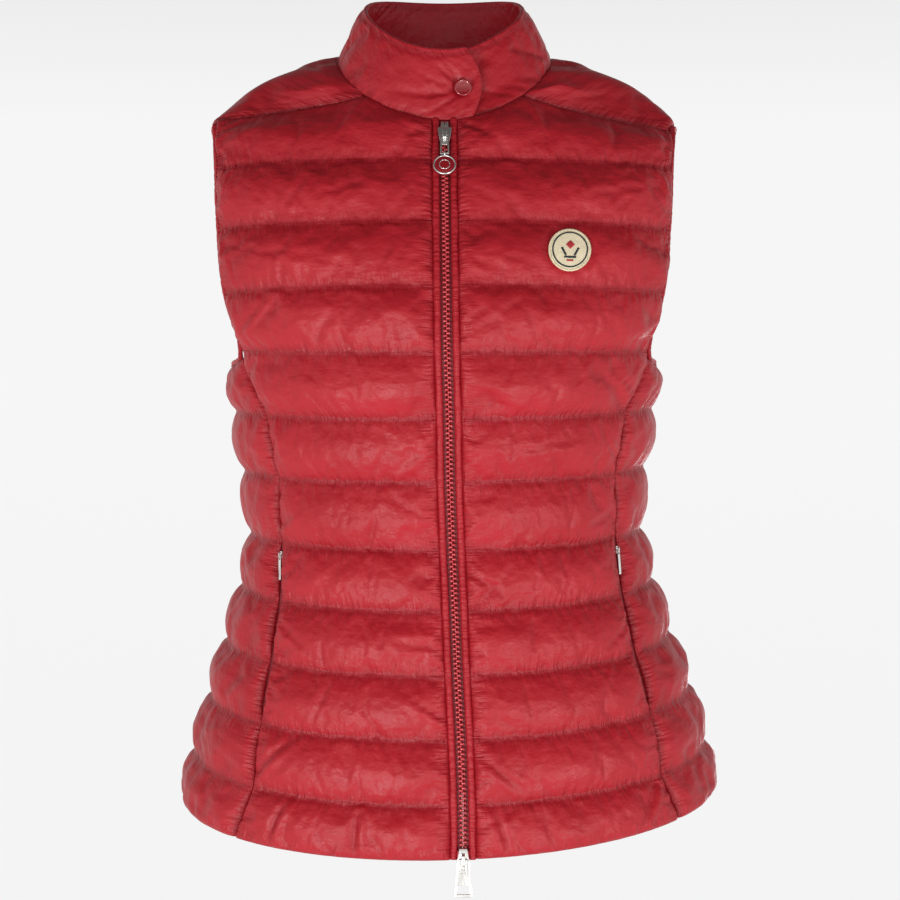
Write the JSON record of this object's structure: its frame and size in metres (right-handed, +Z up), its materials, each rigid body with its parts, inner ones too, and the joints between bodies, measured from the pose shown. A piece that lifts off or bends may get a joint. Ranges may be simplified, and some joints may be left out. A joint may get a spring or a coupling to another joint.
{
  "type": "quilted vest",
  "caption": "Down-filled sleeveless jacket with a stand collar, quilted channels, full-length front zip and pockets in the side-front seams.",
  "frame": {"origin": "middle of the neck at the height where the shoulders carry the jacket", "axes": "+Z up, the wearer faces -Y, +X towards the wearer's left"},
  "size_m": [0.3881, 0.2475, 0.6321],
  "materials": {
    "shell": "soft sheen nylon",
    "trim": "matt ribbed elastic",
    "teeth": "moulded",
    "metal": "polished",
    "enamel": "gloss",
    "badge": "embroidered"
  },
  "bodies": {
    "vest": {"front_right": "shell", "front_left": "shell", "side_right": "shell", "side_left": "shell", "back": "shell", "collar": "shell", "zip_welt_right": "shell", "zip_welt_left": "shell", "armhole_binding_right": "trim", "armhole_binding_left": "trim", "zip_tape_right": "trim", "zip_tape_left": "trim", "pocket_tape_right": "trim", "pocket_tape_left": "trim", "zip_chain": "teeth", "slider_top": "metal", "slider_bottom": "metal", "pocket_slider_right": "metal", "pocket_slider_left": "metal", "snap_cap": "enamel", "badge": "badge"},
    "top_pull": {"pull_top": "metal"},
    "puck": {"puck": "enamel"},
    "bottom_pull": {"pull_bottom": "metal"},
    "pocket_pull_right": {"pocket_pull_right": "metal"},
    "pocket_pull_left": {"pocket_pull_left": "metal"}
  },
  "joints": [
    {"name": "top_pull_swing", "type": "hinge", "parent": "vest", "child": "top_pull", "pos_m": [0.00069, -0.07583, -0.06], "axis": [-1, 0, 0], "range_deg": [0, 120]},
    {"name": "puck_swing", "type": "hinge", "parent": "top_pull", "child": "puck", "pos_m": [0.00069, -0.08352, -0.07403], "axis": [-1, 0, 0], "range_deg": [0, 60]},
    {"name": "bottom_pull_swing", "type": "hinge", "parent": "vest", "child": "bottom_pull", "pos_m": [0.01331, -0.12714, -0.5531], "axis": [-1, 0, 0], "range_deg": [0, 120]},
    {"name": "pocket_pull_right_swing", "type": "hinge", "parent": "vest", "child": "pocket_pull_right", "pos_m": [-0.11499, -0.06024, -0.35213], "axis": [-0.7052, 0.7044, -0.0807], "range_deg": [0, 60]},
    {"name": "pocket_pull_left_swing", "type": "hinge", "parent": "vest", "child": "pocket_pull_left", "pos_m": [0.123, -0.05405, -0.34883], "axis": [-0.6517, -0.7581, 0.0247], "range_deg": [0, 60]}
  ]
}
